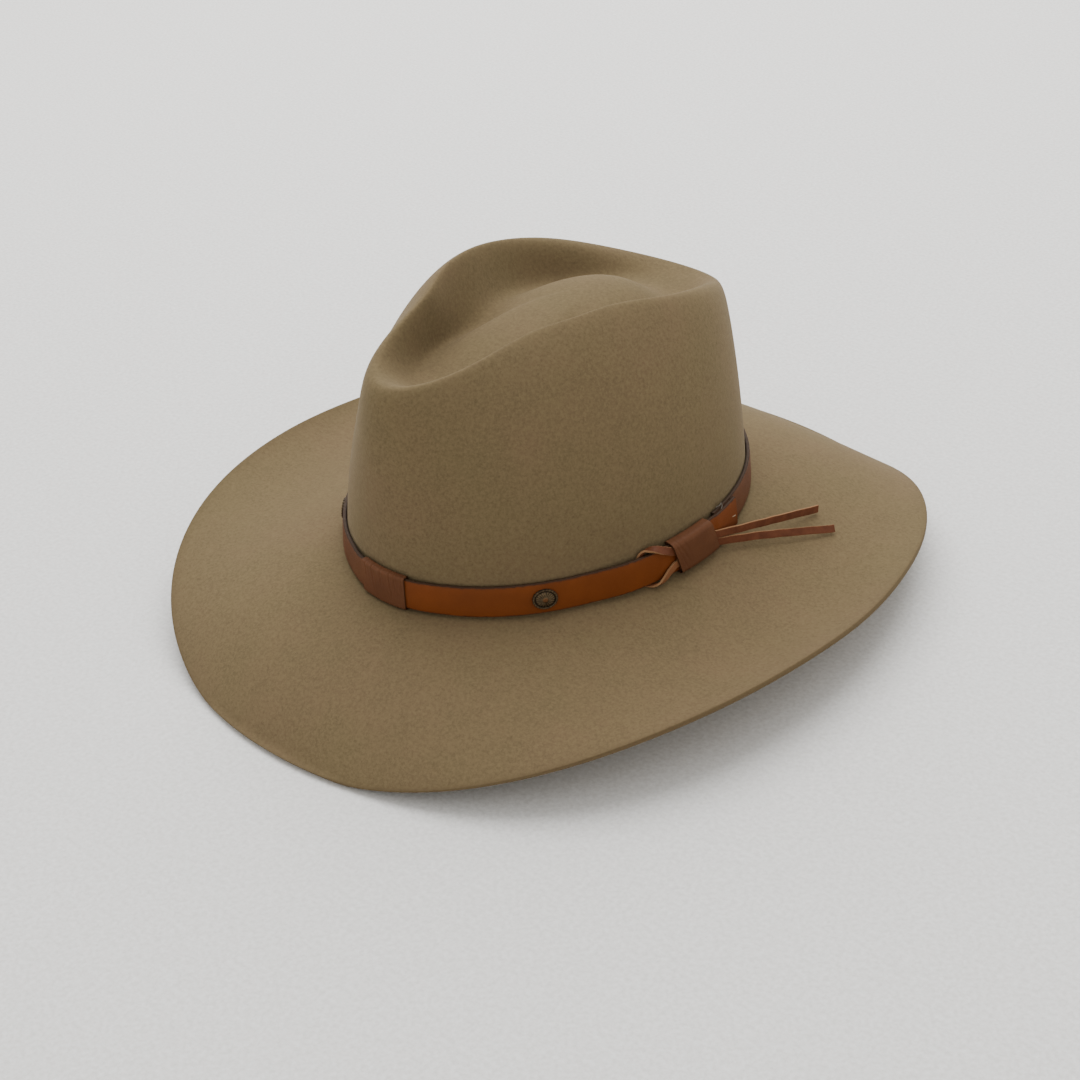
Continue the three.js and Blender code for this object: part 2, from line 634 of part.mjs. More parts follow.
// The origin lies under the middle of the hat, on the surface
const middle = new THREE.Box3().setFromObject(hat).getCenter(new THREE.Vector3());
hat.position.set(-middle.x, -middle.y, 0);

export default hat;
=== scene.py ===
"""A wide-brimmed fur felt hat with a teardrop crease, a leather band and a laced keeper.

Every shape is worked out in millimetres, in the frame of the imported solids: the front of the hat
towards -Y, the wearer's left towards +X, standing on z = 0. Meshes are written in metres.
"""

import math

import bpy
import numpy as np
from mathutils import Matrix, Vector


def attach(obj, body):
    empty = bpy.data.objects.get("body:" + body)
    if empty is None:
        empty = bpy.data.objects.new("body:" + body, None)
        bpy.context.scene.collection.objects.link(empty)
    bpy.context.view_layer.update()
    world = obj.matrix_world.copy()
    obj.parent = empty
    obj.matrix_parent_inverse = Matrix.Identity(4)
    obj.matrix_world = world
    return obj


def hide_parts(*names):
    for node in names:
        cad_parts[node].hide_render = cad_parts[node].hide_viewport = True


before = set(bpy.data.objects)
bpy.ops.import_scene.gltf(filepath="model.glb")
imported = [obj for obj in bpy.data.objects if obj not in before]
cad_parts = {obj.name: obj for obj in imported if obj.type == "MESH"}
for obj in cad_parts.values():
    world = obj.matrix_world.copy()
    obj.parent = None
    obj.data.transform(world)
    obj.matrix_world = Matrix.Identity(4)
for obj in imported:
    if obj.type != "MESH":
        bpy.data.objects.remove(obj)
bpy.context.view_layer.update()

MM = 0.001
BODY = "root"

# Felt, as in the solids
HEAD_LENGTH = 206
HEAD_WIDTH = 166
FRONT_TAPER = 0.02
CROWN_HEIGHT = 114
BRIM_WIDTH = 85.8
BRIM_EXTRA = 3.8
FELT_WALL = 2.2
FOOT_RADIUS = 1.5
RIM_ROUNDING = 0.4
WALL_SWELL, WALL_HANDLE = 0.14, 0.78
VALLEY_STEEPNESS = 0.45
DOME_START, DOME_FULLNESS, DOME_FLATNESS = 0.2, 0.28, 0.6
DOME_UP, DOME_BACK = 0.865, 0.3
CREST = 0.6
BRIM_CURL = 1.45
REST_EASE = 0.8
FOOT_HEIGHT = 37.18  # foot of the crown above the surface
MIDDLE_Y = 0.32  # the head oval's centre lies this far in front of the hat's middle

# Sections from the front round to the back, 30 degrees apart: ridge and valley in shares of the
# head oval and of the crown's height, slopes of the brim at its foot and rim in degrees
SECTIONS = {
    "ridge_out": (0.9, 0.64, 0.51, 0.54, 0.675, 0.85, 0.99),
    "ridge_up": (0.88, 0.945, 0.995, 1.005, 0.945, 0.82, 0.72),
    "valley_out": (0.565, 0.525, 0.38, 0.345, 0.49, 0.66, 0.735),
    "valley_up": (0.745, 0.75, 0.75, 0.78, 0.76, 0.71, 0.705),
    "shoulder": (8, 5.5, 3.5, 3.5, 5.5, 9, 9.5),
    "foot_slope": (-6.5, -6, -16, -26, -22.5, -10.5, -10.5),
    "rim_slope": (-57, -34, 8, 25, 13, -25.5, -52),
}

# Band, as in the solids: distances out of the felt and heights above the crown's foot
CLEARANCE = 0.3
STRAP_THICKNESS = 1.8
STRAP_WIDTH = 14.2
STRAP_LIFT = 1.2
STRAP_TOP = STRAP_LIFT + STRAP_WIDTH
STRAP_MIDDLE = STRAP_LIFT + STRAP_WIDTH / 2
STRAP_END, STRAP_LAP = 22.5, 17
STRAP_EASE, JOINT_GAP = 13, 0.2
LACE_THICKNESS, LACE_WIDTH, LACE_ROOM = 1.0, 3.6, 0.3
KEEPER_PLACE, KEEPER_LENGTH, KEEPER_WALL, KEEPER_CORNER, KEEPER_TILT = 91.1, 25, 0.9, 1.3, 2.2
WRAP_PLACE, WRAP_LENGTH, WRAP_WALL = 0.4, 25, 0.6
SLEEVE_CORNER = 0.5
WRAP_OUT = WRAP_WALL + 2 * CLEARANCE
KEEPER_OUT = LACE_THICKNESS + LACE_ROOM + 2 * CLEARANCE
LAP_OUT = STRAP_THICKNESS + 2 * CLEARANCE
KEEPER_FACE = KEEPER_OUT + STRAP_THICKNESS
LACE_BEHIND = KEEPER_OUT / 2
LACE_FRONT = KEEPER_FACE + CLEARANCE + LACE_THICKNESS / 2
LACE_REACH = STRAP_WIDTH / 2 + CLEARANCE + LACE_THICKNESS / 2
CONCHO_PLACES = {"concho_left": 48.4, "concho_right": -46}
CONCHO_LENGTH, CONCHO_WIDTH, CONCHO_THICKNESS = 11.2, 9.4, 1.9

# The lace's way round the strap, as in the solids
LACE_BIGHT = (
    # in_keeper, ahead, side, lane, face
    (0, 0, 0.25, 1, 0),
    (-0.8, 0, 0.44, 1, 0),
    (-1, 0.8, 0.54, 1.02, 6),
    (-1, 3.2, 0.85, 1.12, 24),
    (-1, 5, 1.06, 0.98, 50),
    (-1, 6.9, 1.14, 0.58, 88),
    (-1, 8.2, 1.08, 0.18, 130),
    (-1, 9.2, 0.8, 0.02, 172),
    (-1, 9.7, 0.3, 0, 180),
    (-1, 9.2, -0.3, 0, 180),
    (-1, 8.5, -0.76, 0.01, 182),
    (-1, 7.9, -0.95, 0.1, 218),
    (-1, 7.3, -1.02, 0.34, 258),
    (-1, 6.5, -1.04, 0.72, 282),
    (-1, 5.6, -1, 1.04, 315),
    (-1, 4.2, -0.84, 1.12, 340),
    (-1, 2.3, -0.58, 1.06, 354),
    (-1, 0.2, -0.34, 1.02, 360),
    (-0.8, 0, -0.33, 1, 360),
    (0, 0, -0.45, 1, 360),
)
TAILS = {
    "lace_tail_upper": dict(side=-0.08, tip=(36.8, 35), roll=5, bow=0),
    "lace_tail_lower": dict(side=-0.62, tip=(31.8, 44.5), roll=30, bow=1.8),
}
BOW_PLACE = 0.35


# Surfaces of the felt

def section_value(column, phi):
    """Sum of cosines of whole multiples of the angle that passes through every row of the column."""
    values = np.array(SECTIONS[column], float)
    last = len(values) - 1
    half = np.ones(last + 1)
    half[[0, last]] = 0.5
    rows = np.arange(last + 1)
    cosines = np.cos(np.pi * np.outer(rows, rows) / last)
    terms = 2 * half * (cosines @ (half * values)) / last
    return np.cos(np.multiply.outer(phi, rows)) @ terms


def head_oval(phi):
    """Ellipse whose width shrinks a little with the cosine towards the front, and its normal."""
    sin, cos = np.sin(phi), np.cos(phi)
    across, along = HEAD_WIDTH / 2, HEAD_LENGTH / 2
    flat = np.zeros_like(sin)
    point = np.stack([across * sin * (1 - FRONT_TAPER * cos), -along * cos, flat], -1)
    normal = np.stack(
        [along * sin, -across * (cos * (1 - FRONT_TAPER * cos) + FRONT_TAPER * sin * sin), flat], -1)
    return point, normal / np.linalg.norm(normal, axis=-1, keepdims=True)


def mm_per_degree(degrees):
    step = head_oval(np.radians(np.array([degrees - 0.5, degrees + 0.5])))[0]
    return float(np.linalg.norm(step[1] - step[0]))


def bezier(controls, t):
    """Curve through the first and last of its controls, weighted with Bernstein's polynomials.
    controls is (controls, columns, 3), t is (rows,) or (rows, columns)."""
    n = len(controls) - 1
    t = t[:, None] if t.ndim == 1 else t
    return sum(math.comb(n, k) * ((1 - t) ** (n - k) * t ** k)[..., None] * controls[k]
               for k in range(n + 1))


def crown_curves(phi):
    """Controls of each direction's three curves: foot to ridge, ridge to valley, valley to top."""
    foot, normal = head_oval(phi)
    up = np.array([0.0, 0.0, 1.0])

    def place(out, height):
        return foot * section_value(out, phi)[:, None] + np.outer(
            section_value(height, phi) * CROWN_HEIGHT, up)

    ridge = place("ridge_out", "ridge_up")
    valley = place("valley_out", "valley_up")
    top = np.zeros_like(foot) + [0, DOME_BACK * HEAD_LENGTH / 2, DOME_UP * CROWN_HEIGHT]
    rise = (ridge - foot) * [WALL_SWELL, WALL_SWELL, WALL_HANDLE]
    shoulder = section_value("shoulder", phi)[:, None]
    wall = np.stack([foot, foot + rise, ridge + normal * shoulder, ridge])
    drop = (valley - ridge) * [1, 1, 0]
    crest = np.minimum(shoulder, CREST * np.linalg.norm(drop, axis=-1, keepdims=True))
    valley_side = np.stack(
        [ridge, ridge - normal * crest, valley - drop * VALLEY_STEEPNESS, valley])
    inward = (top - valley) * [1, 1, 0]
    dome_start = valley + inward * DOME_START + (top - valley) * [0, 0, DOME_FULLNESS]
    dome = np.stack([valley, dome_start, top - inward * DOME_FLATNESS, top])
    return wall, valley_side, dome


def brim_width(phi):
    return BRIM_WIDTH + BRIM_EXTRA * np.cos(2 * phi)


BRIM_SUMS = 40  # short steps in which the brim's slope is added up


def brim_points(phi, distance):
    """Top of the brim: its slope turns from foot to rim with a power of the distance's share, and
    is added up along the felt. distance is (rows, columns)."""
    foot, normal = head_oval(phi)
    foot_slope, rim_slope = section_value("foot_slope", phi), section_value("rim_slope", phi)
    steps = (np.arange(BRIM_SUMS) + 0.5)[:, None, None] / BRIM_SUMS
    share = steps * distance / brim_width(phi)
    slope = np.radians(foot_slope + (rim_slope - foot_slope) * share ** BRIM_CURL)
    out = (np.cos(slope).mean(0) * distance)[..., None]
    height = (np.sin(slope).mean(0) * distance)[..., None]
    return foot + normal * out + np.array([0, 0, 1.0]) * height


HALVINGS = 26


def wall_share(wall, height):
    """Share along each wall curve at which it reaches a height, found by halving."""
    low, high = np.zeros_like(height), np.full_like(height, 0.5)
    for _ in range(HALVINGS):
        middle = (low + high) / 2
        below = bezier(wall, middle[None])[0][:, 2] < height
        low, high = np.where(below, middle, low), np.where(below, high, middle)
    return low


def beside_crown(degrees, height, out):
    """Points beside the crown's wall: degrees round, height above the foot, distance out."""
    degrees, height, out = np.broadcast_arrays(
        *(np.asarray(v, float) for v in (degrees, height, out)))
    phi = np.radians(degrees.ravel())
    wall = crown_curves(phi)[0]
    face = bezier(wall, wall_share(wall, np.maximum(height.ravel(), 0))[None])[0]
    face[:, 2] = height.ravel()
    points = face + head_oval(phi)[1] * out.ravel()[:, None]
    return points.reshape(degrees.shape + (3,)) + [0, -MIDDLE_Y, FOOT_HEIGHT]


def soft_floor(z, level):
    return level + REST_EASE * np.log1p(np.exp((z - level) / REST_EASE))


def grid_normals(grid):
    """Unit normals of a grid that closes round in its second direction, rows running downwards."""
    down = np.gradient(grid, axis=0)
    around = np.roll(grid, -1, axis=1) - np.roll(grid, 1, axis=1)
    normal = np.cross(down, around)
    return normal / np.maximum(np.linalg.norm(normal, axis=-1, keepdims=True), 1e-9)


COLUMNS = 320
DOME_STEPS, VALLEY_STEPS, WALL_STEPS, FOOT_STEPS, BRIM_STEPS = 26, 34, 44, 6, 64
DOME_TRIM, VALLEY_TRIM = 0.03, 0.02  # shares of the curves left off where the next row follows
CREASE_PASSES = 60
CREASE_ROWS = 9  # rows on either side of the valley's floor over which the easing dies away
UNEVEN = 0.22  # how far a hand-blocked felt wanders from its true form
EVEN_ROWS, UNEVEN_ROWS = 12.6, 14  # from the foot, rows left true and rows until it is uneven
RIM_STEPS, RIM_HALF, RIM_FADE = 8, 3, 1.5  # and the rows over which the cut edge's colour fades


def felt_outer():
    """The felt's outer face: for each direction the dome's curve from its top to the valley, the
    valley's side up to the ridge, the wall, a rounding at the foot and the brim's curve. The
    crease is then eased by averaging each point with its neighbours, most at the valley's floor,
    and three slow waves make the felt a little uneven away from the band."""
    phi = np.radians(np.arange(COLUMNS) * 360 / COLUMNS)
    wall, valley_side, dome = crown_curves(phi)
    foot = head_oval(phi)[0]
    radius = np.full(COLUMNS, float(FOOT_RADIUS))
    above = wall_share(wall, radius)
    above_foot = bezier(wall, above[None])[0]
    beside_foot = brim_points(phi, radius[None])[0]
    wall_t = 1 + (above - 1) * np.linspace(0, 1, WALL_STEPS + 1)[:, None]
    brim_d = radius + (brim_width(phi) - radius) * np.linspace(0, 1, BRIM_STEPS + 1)[:, None]
    rows = [
        bezier(dome, np.linspace(1 - DOME_TRIM, DOME_TRIM, DOME_STEPS)),
        bezier(valley_side, np.linspace(1, VALLEY_TRIM, VALLEY_STEPS)),
        bezier(wall, wall_t),
        bezier(np.stack([above_foot, foot, beside_foot]), np.linspace(0, 1, FOOT_STEPS + 1)[1:-1]),
        brim_points(phi, brim_d),
    ]
    grid = np.concatenate(rows)
    row = np.arange(len(grid))[:, None, None]
    ease = np.exp(-((row - DOME_STEPS) / CREASE_ROWS) ** 2)
    for _ in range(CREASE_PASSES):
        inner = grid[1:-1]
        mean = (grid[:-2] + grid[2:] + np.roll(inner, 1, 1) + np.roll(inner, -1, 1)) / 4
        grid[1:-1] += (mean - inner) * ease[1:-1]
    x, y, z = np.moveaxis(grid, -1, 0)
    waves = (np.sin(x / 17 + 1.3) * np.sin(y / 23 + 0.4) + np.sin(y / 13 - z / 19 + 2.1)
             + np.sin(x / 29 - y / 31 + z / 11)) / 2
    crown_rows = DOME_STEPS + VALLEY_STEPS + WALL_STEPS
    from_foot = np.abs(row[..., 0] - crown_rows - FOOT_STEPS / 2)
    away = np.clip((from_foot - EVEN_ROWS) / UNEVEN_ROWS, 0, 1)
    return grid + grid_normals(grid) * (UNEVEN * waves * away)[..., None]


def felt_faces():
    """Outer face, rounded cut edge and inner face as one grid from the dome's top, over the rim,
    to the inside of the dome. The inner face is one wall behind the outer one."""
    outer = felt_outer()
    inner = outer - grid_normals(outer) * FELT_WALL
    outer[..., 2] = soft_floor(outer[..., 2] + FOOT_HEIGHT, FELT_WALL)
    inner[..., 2] = np.maximum(inner[..., 2] + FOOT_HEIGHT, 0)
    top, under = outer[-1], inner[-1]
    outward = outer[-1] - outer[-3]
    outward /= np.linalg.norm(outward, axis=-1, keepdims=True)
    turn = np.radians(np.linspace(-90, 90, RIM_STEPS + 1)[1:-1])[:, None, None]
    rim = (top + under) / 2 + (under - top) / 2 * np.sin(turn) + outward * RIM_ROUNDING * np.cos(turn)
    rim[..., 2] = np.maximum(rim[..., 2], 0)
    grid = np.concatenate([outer, rim, inner[::-2]])
    return grid + [0, -MIDDLE_Y, 0], len(outer)


# Meshes

SHARP_EDGE = 50  # degrees between faces at which an edge is shaded sharp


def add_mesh(name, grid, material, along=False, sharp=SHARP_EDGE, **values):
    """Mesh of a grid of points in millimetres, (rows, columns, 3). It closes round its columns
    and, with along, its rows; otherwise its first and last rows are closed by fans to their
    middles. Further keywords are values per point, kept as attributes that materials read."""
    rows, columns = grid.shape[:2]
    index = np.arange(rows * columns).reshape(rows, columns)
    below = np.roll(index, -1, 0) if along else index[1:]
    above = index if along else index[:-1]
    quads = np.stack([above, np.roll(above, -1, 1), np.roll(below, -1, 1), below], -1)
    points = grid.reshape(-1, 3)
    faces = quads.reshape(-1, 4).tolist()
    if not along:
        middles = np.stack([grid[0].mean(0), grid[-1].mean(0)])
        start, end = len(points), len(points) + 1
        points = np.concatenate([points, middles])
        first, last = index[0], index[-1]
        faces += np.stack([np.full(columns, start), np.roll(first, -1), first], -1).tolist()
        faces += np.stack([np.full(columns, end), last, np.roll(last, -1)], -1).tolist()
    mesh = bpy.data.meshes.new(name)
    mesh.from_pydata((points * MM).tolist(), [], faces)
    if enclosed(points, faces) < 0:
        mesh.flip_normals()
    mesh.polygons.foreach_set("use_smooth", np.ones(len(mesh.polygons), bool))
    if sharp:
        mesh.set_sharp_from_angle(angle=math.radians(sharp))
    for key, value in values.items():
        full = np.zeros(len(points), np.float32)
        full[:rows * columns] = np.broadcast_to(value, (rows, columns)).ravel()
        if len(points) > rows * columns:
            full[-2:] = full[0], full[rows * columns - 1]
        mesh.attributes.new(key, "FLOAT", "POINT").data.foreach_set("value", full)
    mesh.materials.append(material)
    thing = bpy.data.objects.new(f"visible_{name}", mesh)
    bpy.context.scene.collection.objects.link(thing)
    return thing


def enclosed(points, faces):
    """Six times the volume inside a closed surface of triangles and quads."""
    corners = np.array([face if len(face) == 4 else face + face[2:] for face in faces])
    a, b, c, d = (points[corners[:, k]] for k in range(4))
    return float((np.cross(b, c) * a).sum() + (np.cross(c, d) * a).sum())


def dress(piece, slot, *nodes):
    """The piece rides on the hat and stands for the solids named, which are hidden. Its slot is not
    used.
    """
    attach(piece, BODY)
    if nodes:
        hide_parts(*nodes)
    return piece


# Materials

PER_MM = 1000  # features of one millimetre, as a texture's scale

KINDS = {
    # kind: node, output, inputs in the order in which they are given, settings. A mix's sockets go
    # by number, since its colours have the names of its other types' inputs.
    "object": ("ShaderNodeTexCoord", "Object", (), {}),
    "attribute": ("ShaderNodeAttribute", "Fac", (), {}),
    "noise": ("ShaderNodeTexNoise", "Fac", ("Vector", "Scale", "Detail", "Roughness"), {}),
    "cells": ("ShaderNodeTexVoronoi", "Distance", ("Vector", "Scale"), {}),
    "range": ("ShaderNodeMapRange", "Result", ("Value", "From Min", "From Max", "To Min", "To Max"), {}),
    "sum": ("ShaderNodeMath", "Value", (0, 1), {"operation": "ADD"}),
    "mix": ("ShaderNodeMix", 2, (0, 6, 7), {"data_type": "RGBA"}),
    "bump": ("ShaderNodeBump", "Normal", ("Height", "Strength", "Distance", "Normal"), {}),
}


def linear(colour):
    """An sRGB hex colour as linear red, green, blue and alpha."""
    parts = np.array([int(colour[i:i + 2], 16) for i in (1, 3, 5)]) / 255
    return (*np.where(parts <= 0.04045, parts / 12.92, ((parts + 0.055) / 1.055) ** 2.4), 1.0)


def add(tree, kind, *inputs, **settings):
    """Adds a node and gives its output. Its inputs are numbers, colours or other nodes' outputs,
    in the order of the kind's row; None leaves one as it is."""
    node_type, output, names, usual = KINDS[kind]
    node = tree.nodes.new(node_type)
    for key, value in {**usual, **settings}.items():
        setattr(node, key, value)
    for key, value in zip(names, inputs):
        if isinstance(value, bpy.types.NodeSocket):
            tree.links.new(value, node.inputs[key])
        elif value is not None:
            node.inputs[key].default_value = value
    return node.outputs[output]


def new_material(name, **constants):
    material = bpy.data.materials.new(name)
    material.use_nodes = True
    surface = material.node_tree.nodes["Principled BSDF"]
    for key, value in constants.items():
        surface.inputs[key.replace("_", " ")].default_value = value
    return material, material.node_tree, surface


def clouded(tree, colour, *rows):
    """A colour with soft clouds of others over it. A row gives a cloud's size in millimetres, its
    detail and roughness, the noise at which it starts and is full, its least and greatest share,
    and its colour."""
    at = add(tree, "object")
    for size, detail, roughness, start, full, least, most, over in rows:
        cloud = add(tree, "noise", at, PER_MM / size, detail, roughness)
        share = add(tree, "range", cloud, start, full, least, most)
        colour = add(tree, "mix", share, colour, linear(over))
    return colour


def ragged(tree, name, size, detail, roughness, start, full, sway):
    """A value kept in the mesh, made uneven by noise that moves it up and down by sway."""
    cloud = add(tree, "noise", add(tree, "object"), PER_MM / size, detail, roughness)
    uneven = add(tree, "range", cloud, start, full, -sway, sway)
    return add(tree, "sum", add(tree, "attribute", attribute_name=name), uneven)


def relief(tree, surface, *rows, normal=None):
    """Bumps of noise over one another, the finest first. A row gives their size in millimetres,
    detail, roughness, strength and depth in millimetres."""
    at = add(tree, "object")
    for size, detail, roughness, strength, depth in rows:
        height = add(tree, "noise", at, PER_MM / size, detail, roughness)
        normal = add(tree, "bump", height, strength, depth * MM, normal)
    tree.links.new(normal, surface.inputs["Normal"])


def fur_felt():
    """Fur felt, carded, shrunk and brushed: matt, with a short nap that catches light along the
    silhouettes, a cloudy colour from uneven dyeing, and single lighter and darker hairs. The
    hairs are about 0.02 mm thick, and are drawn 1.5 mm long and wide, so that they show."""
    material, tree, surface = new_material(
        "brushed_fur_felt", Roughness=0.92, Sheen_Weight=0.12, Sheen_Roughness=0.4,
        Sheen_Tint=linear("#d8c4a4"), Specular_IOR_Level=0.18)
    colour = clouded(
        tree, linear("#65573d"),
        (52, 3, 0.55, 0.36, 0.64, 0, 1, "#68563f"),
        (15, 4, 0.6, 0.35, 0.65, 0, 0.4, "#5c4f38"),
        (1.5, 4, 0.75, 0.34, 0.66, 0, 0.62, "#7a6a4c"),
        (1.9, 3, 0.7, 0.56, 0.68, 0, 0.2, "#463c2a"))
    edge = add(tree, "range", add(tree, "attribute", attribute_name="cut"), 0, 1, 0, 0.6)
    colour = add(tree, "mix", edge, colour, linear("#53442e"))
    tree.links.new(colour, surface.inputs["Base Color"])
    relief(tree, surface, (1.2, 5, 0.7, 0.45, 0.25), (4.5, 3, 0.5, 0.3, 0.25))
    return material


def strap_leather(name, light, dark, edge_colour, core_colour, roughness):
    """Vegetable-tanned strap leather, waxed: a satin face with fine grain, edges burnished dark,
    and the fibre of the cut showing paler along the middle of each edge. Its pores are about
    0.1 mm, and are drawn 0.8 mm apart, so that they show."""
    material, tree, surface = new_material(name, IOR=1.45, Specular_IOR_Level=0.15)
    burnt = ragged(tree, "burnish", 2.2, 3, 0.6, 0.25, 0.75, 0.18)
    colour = clouded(
        tree, linear(light),
        (14, 4, 0.6, 0.3, 0.7, 0.22, 0.72, dark),
        (0.55, 4, 0.6, 0.3, 0.7, 0, 0.3, dark))
    colour = add(tree, "mix", add(tree, "range", burnt, 0.25, 0.85, 0, 1), colour, linear(edge_colour))
    core = add(tree, "attribute", attribute_name="core")
    colour = add(tree, "mix", core, colour, linear(core_colour))
    tree.links.new(colour, surface.inputs["Base Color"])
    at = add(tree, "object")
    grain = add(tree, "noise", at, PER_MM / 0.55, 4, 0.6)
    tree.links.new(
        add(tree, "range", grain, 0.3, 0.7, roughness - 0.06, roughness + 0.1),
        surface.inputs["Roughness"])
    pores = add(tree, "bump", add(tree, "cells", at, PER_MM / 0.8), 0.25, 0.05 * MM)
    relief(tree, surface, (3.5, 3, 0.5, 0.35, 0.15), normal=pores)
    return material


def thong_leather():
    """Thin oiled thong leather, cut raw: reddish brown on its face, lighter on its flesh side,
    with tan fibre on its edges. The fibres are drawn 0.5 mm wide, so that they show."""
    material, tree, surface = new_material("oiled_thong_leather", IOR=1.45, Specular_IOR_Level=0.2)
    bare = ragged(tree, "cut", 0.5, 3, 0.7, 0.3, 0.7, 0.25)
    colour = clouded(tree, linear("#6f4029"), (6, 4, 0.6, 0.3, 0.7, 0, 1, "#57301d"))
    colour = add(tree, "mix", add(tree, "attribute", attribute_name="flesh"), colour, linear("#86583a"))
    colour = add(tree, "mix", add(tree, "range", bare, 0.35, 0.8, 0, 1), colour, linear("#8f6a4a"))
    tree.links.new(colour, surface.inputs["Base Color"])
    tree.links.new(add(tree, "range", bare, 0, 1, 0.5, 0.9), surface.inputs["Roughness"])
    relief(tree, surface, (0.45, 4, 0.7, 0.5, 0.12))
    return material


def antique_brass():
    """Cast brass, darkened with patina that stays in the flutes and is rubbed off the high
    spots."""
    material, tree, surface = new_material("antique_brass", Metallic=0.85)
    rubbed = ragged(tree, "worn", 1.4, 4, 0.6, 0.3, 0.7, 0.25)
    bright = add(tree, "range", rubbed, 0.2, 0.9, 0, 1)
    colour = add(tree, "mix", bright, linear("#30271d"), linear("#66563f"))
    colour = add(tree, "mix", add(tree, "attribute", attribute_name="boss"), colour, linear("#6f4c30"))
    tree.links.new(colour, surface.inputs["Base Color"])
    tree.links.new(add(tree, "range", rubbed, 0, 1, 0.66, 0.46), surface.inputs["Roughness"])
    relief(tree, surface, (0.5, 3, 0.6, 0.4, 0.06))
    return material


def plain(name, colour, roughness):
    """A matt single finish with a faint cloud in it, for thread and the studio floor."""
    material, tree, surface = new_material(name, Roughness=roughness)
    shade = clouded(tree, linear(colour), (2, 3, 0.6, 0.3, 0.7, 0, 0.25, "#8a8378"))
    tree.links.new(shade, surface.inputs["Base Color"])
    return material


# Leather pieces

def rounded_rectangle(out0, out1, up0, up1, front, back=None, arc=4, outs=2, ups=14):
    """Closed profile of straight runs with quarter circles between them, as (out, up) points
    counted from the lower end of the outer face. The radii are those of front and back."""
    back = front if back is None else back
    inner = ((front, out1 - front, up0 + front, -90), (front, out1 - front, up1 - front, 0),
             (back, out0 + back, up1 - back, 90), (back, out0 + back, up0 + back, 180))
    turn = np.linspace(0, 90, arc + 1)
    corners = [np.stack([out + radius * np.cos(np.radians(start + turn)),
                         up + radius * np.sin(np.radians(start + turn))], -1)
               for radius, out, up, start in inner]
    runs = []
    for k, corner in enumerate(corners):
        following = corners[(k + 1) % 4][0]
        count = ups if k % 2 == 0 else outs
        share = np.linspace(0, 1, count + 1)[1:-1, None]
        runs += [corner, corner[-1] + (following - corner[-1]) * share]
    return np.concatenate(runs)


def smooth_step(value, start, end):
    share = np.clip((value - start) / (end - start), 0, 1)
    return share * share * (3 - 2 * share)


KEEPER_SCALE = mm_per_degree(KEEPER_PLACE)
KEEPER_HALF = KEEPER_LENGTH / 2 / KEEPER_SCALE


def keeper_mouth(height):
    """Degrees at which the tilted keeper ends, towards the back, at a height."""
    return KEEPER_PLACE + KEEPER_HALF + KEEPER_TILT * (STRAP_MIDDLE - height) / STRAP_WIDTH


WRAP_HALF = WRAP_LENGTH / 2 / mm_per_degree(WRAP_PLACE)
FRONT_STRAP_END = keeper_mouth(STRAP_MIDDLE) + STRAP_END / KEEPER_SCALE
BACK_STRAP_START = FRONT_STRAP_END - STRAP_LAP / KEEPER_SCALE
LACE_START = KEEPER_PLACE - KEEPER_HALF - LACE_WIDTH / KEEPER_SCALE - max(row[1] for row in LACE_BIGHT)


def front_out(degrees):
    """Distance of the front strap from the felt: off the wrap's back, down onto the felt, and up
    again over the lace and over the end of the back strap."""
    wrap_end, lap_start = WRAP_PLACE + WRAP_HALF, keeper_mouth(STRAP_LIFT)
    return (WRAP_OUT + (CLEARANCE - WRAP_OUT) * smooth_step(degrees, wrap_end, wrap_end + STRAP_EASE)
            + (KEEPER_OUT - CLEARANCE) * smooth_step(degrees, LACE_START - STRAP_EASE, LACE_START)
            + (LAP_OUT - KEEPER_OUT) * smooth_step(degrees, lap_start, BACK_STRAP_START))


def back_out(degrees):
    wrap_start = 360 + WRAP_PLACE - WRAP_HALF
    return CLEARANCE + (WRAP_OUT - CLEARANCE) * smooth_step(degrees, wrap_start - STRAP_EASE, wrap_start)


STRAP_STEPS = 2.5  # rings of points for each degree
STRAP_ROUNDING = 0.45
STRAP_CROWN, STRAP_CROWN_WIDTH = 0.12, 3  # rise of the face's middle, and width of its slope
FACE_DEPTH = 0.2  # how far in the face's rounded corners count as face
BURNISH_WIDTH = 0.55
EDGE_WAVES = ((0.05, 0.9, 0), (0.04, 2.3, 1))  # height, radians for each degree, start
EDGE_FLAT, CORE_PLACE, CORE_WIDTH = 0.05, 0.62, 0.13  # the last two in shares of the thickness


def strap(name, material, slot, start, end, out_at):
    """A rounded rectangle carried round the crown's wall at the distance that out_at gives. Its
    face is a little crowned, and its edges wander by a few hundredths of a millimetre."""
    degrees = np.linspace(start, end, int(round((end - start) * STRAP_STEPS)) + 1)[:, None]
    profile = rounded_rectangle(
        0, STRAP_THICKNESS, STRAP_LIFT, STRAP_TOP, STRAP_ROUNDING, ups=18, outs=5)
    out, height = profile[:, 0], profile[:, 1]
    from_edge = np.minimum(height - STRAP_LIFT, STRAP_TOP - height)
    crowned = STRAP_CROWN * smooth_step(from_edge, 0, STRAP_CROWN_WIDTH) * (out > STRAP_THICKNESS / 2)
    wander = sum(high * np.sin(degrees * rate + at) for high, rate, at in EDGE_WAVES)
    wide = height + wander * (height > STRAP_MIDDLE)
    grid = beside_crown(degrees, wide, out_at(degrees) + out + crowned)
    face = out > STRAP_THICKNESS - FACE_DEPTH
    burnish = np.where(face, np.exp(-from_edge / BURNISH_WIDTH), 1.0)
    from_core = (out / STRAP_THICKNESS - CORE_PLACE) / CORE_WIDTH
    core = np.where(from_edge < EDGE_FLAT, np.exp(-from_core ** 2), 0)
    piece = add_mesh(name, grid, material, burnish=burnish[None], core=core[None])
    return dress(piece, slot, name)


